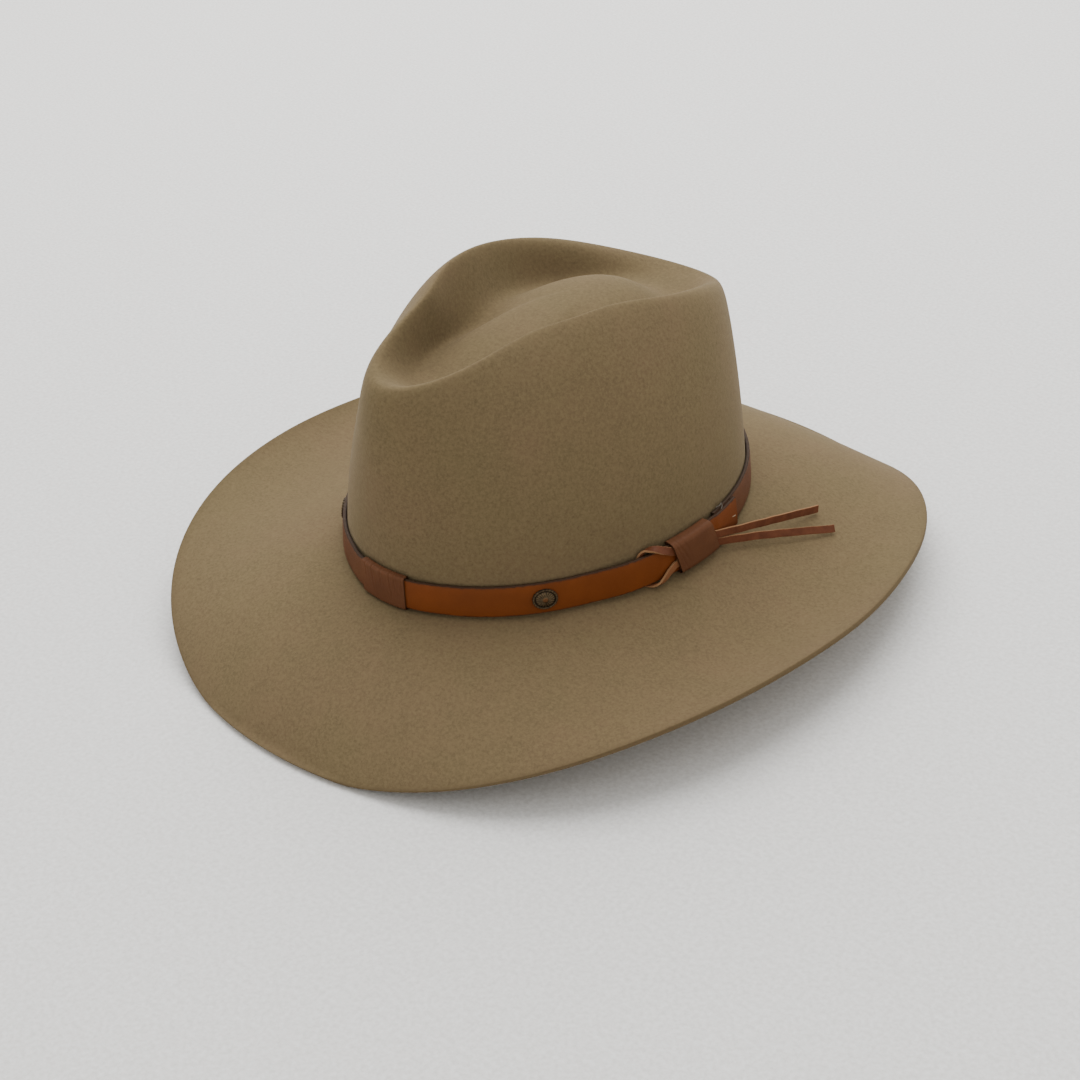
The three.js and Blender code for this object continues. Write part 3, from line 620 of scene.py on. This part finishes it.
LIP_HEIGHT, LIP_PLACE, LIP_WIDTH = 0.6, 1.6, 0.9  # shares of a trough's depth and width
CREASE_FADE = 0.35


def creases(share, height, table, length):
    """Sum of narrow troughs with raised lips beside them. Each row of the table gives a trough's
    place along the piece and its slant in millimetres, its depth and width, and the share of the
    height from the top that it reaches down."""
    total = np.zeros(np.broadcast(share, height).shape)
    from_top = (STRAP_TOP - height) / STRAP_WIDTH
    for place, slant, depth, width, reach in table:
        away = (share * length - place - slant * from_top) / width
        fade = 1 - smooth_step(from_top, reach - CREASE_FADE, reach)
        lips = LIP_HEIGHT * np.exp(-((np.abs(away) - LIP_PLACE) / LIP_WIDTH) ** 2)
        total += depth * fade * (lips - np.exp(-away ** 2))
    return total


WRAP_CREASES = (
    # place, slant, depth, width, reach
    (3.0, 1.5, 0.16, 0.5, 0.5),
    (7.2, 1.8, 0.22, 0.5, 0.8),
    (12.5, 1.0, 0.18, 0.6, 0.6),
    (17.4, 1.6, 0.26, 0.5, 0.9),
    (20.0, 1.2, 0.2, 0.45, 0.7),
    (23.8, 0.6, 0.14, 0.5, 1.2),
)
KEEPER_CREASES = (
    # place, slant, depth, width, reach
    (1.4, 2.2, 0.05, 0.5, 1.3),
    (3.1, 3.6, 0.07, 0.6, 0.9),
    (6.2, 3.0, 0.04, 0.7, 0.6),
)
WRAP_BULGE, KEEPER_BULGE = 0.15, 0.12  # swelling of their middles
WRAP_STEPS, KEEPER_STEPS = 110, 90
SLEEVE_PROFILE = {"arc": 7, "outs": 7, "ups": 26}
MOUTH_ROUNDING = 0.18  # how far a sleeve's mouths bulge out between its two faces
MOUTH_BURNISH, MOUTH_CORE = 0.4, 0.7


def sleeve(name, material, slot, place, length, tilt, wall, front, corner, table, steps, bulge):
    """Tube of rounded section round the strap, open at both mouths: outer face, rounded mouth,
    inner face and rounded mouth again, closed into a ring. Its outer face swells a little in the
    middle and is creased by the table."""
    span = length / mm_per_degree(place)
    share = np.linspace(0, 1, steps + 1)[:, None]

    def face(grow, along, swell):
        base = rounded_rectangle(
            CLEARANCE + wall - grow, front + grow, STRAP_LIFT - CLEARANCE - grow,
            STRAP_TOP + CLEARANCE + grow, corner + grow, SLEEVE_CORNER + grow, **SLEEVE_PROFILE)
        out, height = base[:, 0], base[:, 1]
        rise = creases(along, height[None], table, length) + bulge * np.sin(np.pi * along) ** 0.5
        outer = smooth_step(out, CLEARANCE + wall, front)
        turned = tilt * (STRAP_MIDDLE - height) / STRAP_WIDTH
        degrees = place + turned + span * (along - 0.5)
        lifted = height + 0.5 * rise * swell * np.sign(height - STRAP_MIDDLE) * (
            np.abs(height - STRAP_MIDDLE) > STRAP_WIDTH / 2)
        return beside_crown(degrees, lifted, out + rise * swell * outer)

    outside = face(wall, share, 1)
    inside = face(0, share[::-1], 0)
    mouth = MOUTH_ROUNDING / length
    end = face(wall / 2, np.array([[1 + mouth]]), 0.5)
    start = face(wall / 2, np.array([[-mouth]]), 0.5)
    grid = np.concatenate([outside, end, inside, start])
    cut = np.concatenate([np.zeros(steps + 1), [1], np.zeros(steps + 1), [1]])[:, None]
    piece = add_mesh(name, grid, material, along=True, burnish=cut * MOUTH_BURNISH,
                     core=cut * MOUTH_CORE)
    return dress(piece, slot, name)


def curve_through(points, samples):
    """Smooth curve through points at even shares of its spans: cubics whose end slopes follow
    from the root of the distances between neighbouring points."""
    points = np.asarray(points, float)
    before, after = 2 * points[0] - points[1], 2 * points[-1] - points[-2]
    p = np.concatenate([[before], points, [after]])
    spacing = np.sqrt(np.linalg.norm(np.diff(p, axis=0), axis=1))
    place = np.linspace(0, len(points) - 1, samples)
    i = np.minimum(place.astype(int), len(points) - 2)
    t = (place - i)[:, None]
    a, b, c = spacing[i][:, None], spacing[i + 1][:, None], spacing[i + 2][:, None]
    x0, x1, x2, x3 = p[i], p[i + 1], p[i + 2], p[i + 3]
    slope1 = b * ((x1 - x0) / a - (x2 - x0) / (a + b) + (x2 - x1) / b)
    slope2 = b * ((x2 - x1) / b - (x3 - x1) / (b + c) + (x3 - x2) / c)
    return (x1 + slope1 * t + (3 * (x2 - x1) - 2 * slope1 - slope2) * t ** 2
            + (2 * (x1 - x2) + slope1 + slope2) * t ** 3)


def evenly_spaced(points, samples):
    """The same curve with points at equal lengths along it."""
    length = np.concatenate([[0], np.cumsum(np.linalg.norm(np.diff(points, axis=0), axis=1))])
    wanted = np.linspace(0, length[-1], samples)
    return np.stack([np.interp(wanted, length, points[:, k]) for k in range(3)], -1)


LACE_ROUNDING = 0.16
RAGGED, RAGGED_RUN = 0.07, 7  # spread of the cut edges' wander, and the steps it is averaged over
RAGGED_UPPER, RAGGED_LOWER, RAGGED_BAND = 0.6, -0.5, 0.3  # shares for the edges, and their width
CUT_WIDTH, CUT_FULL = 0.24, 0.04  # from an edge, where the bare fibre starts and is full


def flat_lace(name, material, path, looks, seed, flesh=0.0):
    """Rounded rectangle carried along a path, its width lying across the path and square to the
    way its face looks, with cut edges that wander a little."""
    tangent = np.gradient(path, axis=0)
    tangent /= np.linalg.norm(tangent, axis=1, keepdims=True)
    across = np.cross(looks, tangent)
    across /= np.linalg.norm(across, axis=1, keepdims=True)
    face = np.cross(tangent, across)
    half, thick = LACE_WIDTH / 2, LACE_THICKNESS / 2
    profile = rounded_rectangle(-thick, thick, -half, half, LACE_ROUNDING, arc=2, outs=5, ups=8)
    rise, side = profile[:, 0], profile[:, 1]
    rng = np.random.default_rng(seed)
    steps = rng.normal(0, RAGGED, len(path) + RAGGED_RUN - 1)
    wander = np.convolve(steps, np.ones(RAGGED_RUN) / RAGGED_RUN ** 0.5, "valid")[:, None]
    edge_share = np.where(side > 0, RAGGED_UPPER, RAGGED_LOWER) * (np.abs(side) > half - RAGGED_BAND)
    wide = side * (1 + wander * edge_share)
    grid = path[:, None] + across[:, None] * wide[..., None] + face[:, None] * rise[None, :, None]
    cut = smooth_step(np.abs(side), half - CUT_WIDTH, half - CUT_FULL)
    return add_mesh(name, grid, material, cut=cut[None], flesh=flesh)


def tail_exit(side):
    """Where a tail carries on from the bight's leg: its lower edge just clears the mouth."""
    height = STRAP_MIDDLE + LACE_REACH * side - LACE_WIDTH / 2
    return keeper_mouth(height) + CLEARANCE / KEEPER_SCALE


BIGHT_STEPS, TAIL_STEPS, FINE_STEPS = 260, 90, 400
BIGHT_SEED, TAIL_SEED = 5, 11
FLESH_START, FLESH_FULL = 0.64, 0.68  # shares of the loop between which it turns its flesh side out


def lace_bight(material):
    """The lace's loop round the strap: a curve through the table's rows, with its face turning
    as the rows say. Its lower leg shows the flesh side."""
    route = [(KEEPER_PLACE + KEEPER_HALF * inside - ahead, side, lane, face)
             for inside, ahead, side, lane, face in LACE_BIGHT]
    upper, lower = (TAILS[name]["side"] for name in ("lace_tail_upper", "lace_tail_lower"))
    route.insert(0, (tail_exit(upper) - 2 * CLEARANCE / KEEPER_SCALE, upper, 1, 0))
    route.append((tail_exit(lower) - 2 * CLEARANCE / KEEPER_SCALE, lower, 1, 360))
    degrees, side, lane, face = np.array(route, float).T
    points = beside_crown(degrees, STRAP_MIDDLE + LACE_REACH * side,
                          LACE_BEHIND + (LACE_FRONT - LACE_BEHIND) * lane)
    turned = np.radians(face)[:, None]
    outward = head_oval(np.radians(degrees))[1]
    looks = outward * np.cos(turned) + np.array([0, 0, 1.0]) * np.sin(turned)
    path, ways = curve_through(points, BIGHT_STEPS), curve_through(looks, BIGHT_STEPS)
    along = np.linspace(0, 1, BIGHT_STEPS)
    turned_over = smooth_step(along, FLESH_START, FLESH_FULL)[:, None]
    piece = flat_lace("lace_bight", material, path, ways, BIGHT_SEED, turned_over)
    return dress(piece, "brown_leather", "lace_bight")


def lace_tail(name, material, side, tip, roll, bow):
    """A free end of the lace: out of the keeper's mouth and straight to its tip on the brim, or
    bent back a little towards the crown on its way."""
    turn, along = tip
    leave = tail_exit(side)
    root = beside_crown(leave, STRAP_MIDDLE + LACE_REACH * side, LACE_FRONT)
    end = brim_points(np.radians(np.array([KEEPER_PLACE + turn])), np.array([[float(along)]]))[0, 0]
    standing = (LACE_THICKNESS + LACE_WIDTH * math.cos(math.radians(roll))) / 2
    end[1] -= MIDDLE_Y
    end[2] = soft_floor(end[2] + FOOT_HEIGHT, FELT_WALL) + CLEARANCE + standing
    outward = head_oval(np.radians(np.array([leave])))[1]
    bend = root + (end - root) * BOW_PLACE - outward[0] * bow
    path = evenly_spaced(curve_through([root, bend, end], FINE_STEPS), TAIL_STEPS)
    turned = np.radians(np.linspace(0, roll, len(path)))[:, None]
    looks = outward * np.cos(turned) + np.array([0, 0, 1.0]) * np.sin(turned)
    piece = flat_lace(name, material, path, looks, TAIL_SEED)
    return dress(piece, "brown_leather", name)


# Thread

THREAD, THREAD_STEPS, THREAD_SIDES = 0.42, 24, 8
THREADS = (
    # three places each: degrees, height, distance from the felt
    ("strap_stitch", (107.4, 7.9, 4.0), (108.7, 7.3, 4.45), (110.0, 6.7, 4.0)),
    ("thread_end_upper", (102.9, 16.4, 1.2), (104.0, 16.9, 2.2), (105.3, 16.7, 1.7)),
    ("thread_end_lower", (103.4, 14.9, 2.9), (104.6, 15.9, 2.7), (105.0, 16.6, 2.2)),
)


def thread(name, material, *points):
    """A round thread along a smooth curve through three places beside the crown."""
    degrees, height, out = np.array(points).T
    path = curve_through(beside_crown(degrees, height, out), THREAD_STEPS)
    tangent = np.gradient(path, axis=0)
    tangent /= np.linalg.norm(tangent, axis=1, keepdims=True)
    sideways = np.cross(tangent, [0.3, 0.2, 1.0])
    sideways /= np.linalg.norm(sideways, axis=1, keepdims=True)
    third = np.cross(tangent, sideways)
    turn = np.linspace(0, 2 * np.pi, THREAD_SIDES, endpoint=False)[None, :, None]
    circle = sideways[:, None] * np.cos(turn) + third[:, None] * np.sin(turn)
    grid = path[:, None] + THREAD / 2 * circle
    return dress(add_mesh(name, grid, material), "brown_leather")


# Conchos

BEADS, FLUTES = 22, 20
CONCHO_RINGS = (0.03, 0.08, 0.13, 0.18, 0.21, 0.25, 0.3, 0.38, 0.46, 0.54, 0.62, 0.68, 0.73,
                0.77, 0.8, 0.84, 0.88, 0.92, 0.96, 1.0, 1.0, 1.0)
BOSS_OUTER, BOSS_INNER = 0.23, 0.19  # shares of the radius, as are the next two rows
FLUTES_START, FLUTES_FULL, DOME_EDGE, FLUTES_FADE = 0.24, 0.34, 0.76, 0.68
GROOVE_PLACE, GROOVE_WIDTH, BEAD_PLACE, BEAD_REACH = 0.77, 0.035, 0.9, 0.1
DISC, DOME_RISE, FLUTE, GROOVE, BEAD, BOSS = 0.42, 0.4, 0.07, 0.13, 0.2, 0.16  # of its thickness
DOME_SHAPE, BEAD_SHAPE, BEAD_LOW = 0.8, 0.7, 0.45  # powers, and a bead ring's share at its lowest
NOTCH = 0.22  # depth of the rim's notches between the beads
BEAD_STEPS, CONCHO_SHARP = 8, 75
WORN = {"all": 0.72, "flute": 4.5, "rim": 0.4, "bead": 0.35, "groove": 4.3}  # patina rubbed off


def concho(name, material, degrees):
    """An oval disc seen from its front: height is a low dome with radial flutes, a groove, a ring
    of beads at the rim and a round boss in the middle, all as functions of radius and angle."""
    share = np.array(CONCHO_RINGS)[:, None]
    turn = np.linspace(0, 2 * np.pi, BEAD_STEPS * BEADS, endpoint=False)[None]
    boss = smooth_step(share, BOSS_OUTER, BOSS_INNER)
    dome = DISC + DOME_RISE * np.clip(1 - (share / DOME_EDGE) ** 2, 0, 1) ** DOME_SHAPE
    fluted = smooth_step(share, FLUTES_START, FLUTES_FULL) * smooth_step(share, DOME_EDGE, FLUTES_FADE)
    flute = FLUTE * fluted * np.cos(FLUTES * turn)
    groove = -GROOVE * np.exp(-((share - GROOVE_PLACE) / GROOVE_WIDTH) ** 2)
    ring = np.sqrt(np.clip(1 - ((share - BEAD_PLACE) / BEAD_REACH) ** 2, 0, 1))
    on_bead = np.abs(np.cos(BEADS * turn / 2))
    bead = ring * (BEAD_LOW + (1 - BEAD_LOW) * on_bead ** BEAD_SHAPE)
    lift = CONCHO_THICKNESS * (dome + flute + groove + BEAD * bead + BOSS * boss)
    lift[-2] = BEAD * CONCHO_THICKNESS
    lift[-1] = 0
    cut = NOTCH * smooth_step(share, BEAD_PLACE, 1) * (1 - on_bead)
    seat_out = CLEARANCE + STRAP_THICKNESS + CLEARANCE
    seat = beside_crown(degrees, STRAP_MIDDLE, seat_out)
    upward = beside_crown(degrees, STRAP_MIDDLE + 1, seat_out) - seat
    upward /= np.linalg.norm(upward)
    normal = head_oval(np.radians(np.array([float(degrees)])))[1][0]
    across = np.cross(upward, normal)
    outward = np.cross(across, upward)
    grid = (seat + across * ((CONCHO_LENGTH / 2 * share - cut) * np.cos(turn))[..., None]
            + upward * ((CONCHO_WIDTH / 2 * share - cut) * np.sin(turn))[..., None]
            + outward * lift[..., None])
    worn = np.clip(WORN["all"] + WORN["flute"] * flute - WORN["rim"] * (ring > 0)
                   + WORN["bead"] * bead + WORN["groove"] * groove, 0, 1)
    piece = add_mesh(name, grid, material, sharp=CONCHO_SHARP, worn=worn, boss=boss)
    return dress(piece, "antique_brass", name)


# Studio

SENSOR = 36


def photo_camera():
    """Camera with the photo's view of the head oval's centre."""
    azimuth, elevation, roll = (math.radians(v) for v in (44.8, 31.2, -3.4))
    distance = 925
    scale = 2.14  # photo pixels for each millimetre at the target
    size = 1080
    aim_pixel = (549.3, 501.1)
    back = np.array([math.sin(azimuth) * math.cos(elevation),
                     -math.cos(azimuth) * math.cos(elevation), math.sin(elevation)])
    right = np.array([math.cos(azimuth), math.sin(azimuth), 0])
    up = np.cross(back, right)
    x_axis = math.cos(roll) * right + math.sin(roll) * up
    y_axis = -math.sin(roll) * right + math.cos(roll) * up
    target = np.array([0, -MIDDLE_Y, FOOT_HEIGHT])
    data = bpy.data.cameras.new("camera")
    data.sensor_width = SENSOR
    data.lens = SENSOR * scale * distance / size
    data.shift_x = (size / 2 - aim_pixel[0]) / size
    data.shift_y = (aim_pixel[1] - size / 2) / size
    data.clip_start, data.clip_end = 0.05, 20
    camera = bpy.data.objects.new("camera", data)
    matrix = np.eye(4)
    matrix[:3, 0], matrix[:3, 1], matrix[:3, 2] = x_axis, y_axis, back
    matrix[:3, 3] = (target + back * distance) * MM
    camera.matrix_world = Matrix(matrix.tolist())
    bpy.context.scene.collection.objects.link(camera)
    bpy.context.scene.camera = camera


def area_light(name, place, aim, size, power):
    data = bpy.data.lights.new(name, "AREA")
    data.shape = "DISK"
    data.size = size
    data.energy = power
    light = bpy.data.objects.new(name, data)
    bpy.context.scene.collection.objects.link(light)
    light.location = place
    light.rotation_euler = (Vector(place) - Vector(aim)).to_track_quat("Z", "Y").to_euler()


FLOOR_HALF = 4.0
FLOOR_HEIGHT = -2e-4  # just under the brim's lowest points, in metres


def studio():
    """A pale floor in an even white surround, under one soft lamp behind and above the hat."""
    floor_material = plain("matt_white_floor", "#f4f3f1", 0.9)
    mesh = bpy.data.meshes.new("floor")
    corners = ((-1, -1), (1, -1), (1, 1), (-1, 1))
    mesh.from_pydata(
        [(FLOOR_HALF * x, FLOOR_HALF * y, FLOOR_HEIGHT) for x, y in corners], [], [(0, 1, 2, 3)])
    mesh.materials.append(floor_material)
    floor = bpy.data.objects.new("floor", mesh)
    bpy.context.scene.collection.objects.link(floor)
    world = bpy.data.worlds.new("surround")
    world.use_nodes = True
    surround = world.node_tree.nodes["Background"].inputs
    surround["Color"].default_value = linear("#fbfaf7")
    surround["Strength"].default_value = 0.95
    bpy.context.scene.world = world
    area_light("softbox", place=(-0.66, 0.7, 1.6), aim=(0, 0, 0.08), size=2.4, power=56)


photo_camera()

thong = thong_leather()
for tail_name, tail in TAILS.items():
    lace_tail(tail_name, thong, **tail)

felt_grid, outer_rows = felt_faces()
from_edge = np.abs(np.arange(len(felt_grid)) - outer_rows - RIM_HALF) - RIM_HALF
cut_edge = np.exp(-np.clip(from_edge, 0, None) / RIM_FADE)[:, None]
dress(add_mesh("felt_body", felt_grid, fur_felt(), sharp=None, cut=cut_edge), "felt", "felt_body")

tan_leather = strap_leather("waxed_tan_leather", "#7a3f18", "#643313", "#35241a", "#4a3626", 0.56)
brown_leather = strap_leather("oiled_brown_leather", "#6c452c", "#543320", "#35271d", "#483729", 0.6)
strap("front_strap", tan_leather, "strap_leather", WRAP_PLACE + JOINT_GAP, FRONT_STRAP_END, front_out)
strap("back_strap", brown_leather, "brown_leather", BACK_STRAP_START, 360 + WRAP_PLACE - JOINT_GAP,
      back_out)
sleeve("front_wrap", brown_leather, "brown_leather", WRAP_PLACE, WRAP_LENGTH, 0, WRAP_WALL,
       WRAP_OUT + STRAP_THICKNESS + CLEARANCE, SLEEVE_CORNER, WRAP_CREASES, WRAP_STEPS, WRAP_BULGE)
sleeve("keeper", brown_leather, "brown_leather", KEEPER_PLACE, KEEPER_LENGTH, KEEPER_TILT, KEEPER_WALL,
       LACE_FRONT + LACE_THICKNESS / 2 + CLEARANCE, KEEPER_CORNER, KEEPER_CREASES, KEEPER_STEPS,
       KEEPER_BULGE)
lace_bight(thong)
linen = plain("waxed_linen_thread", "#a58f70", 0.8)
dark_linen = plain("old_linen_thread", "#5d564c", 0.85)
for thread_name, *thread_places in THREADS:
    thread(thread_name, linen if thread_name == "strap_stitch" else dark_linen, *thread_places)
brass = antique_brass()
for concho_name, concho_degrees in CONCHO_PLACES.items():
    concho(concho_name, brass, concho_degrees)

studio()
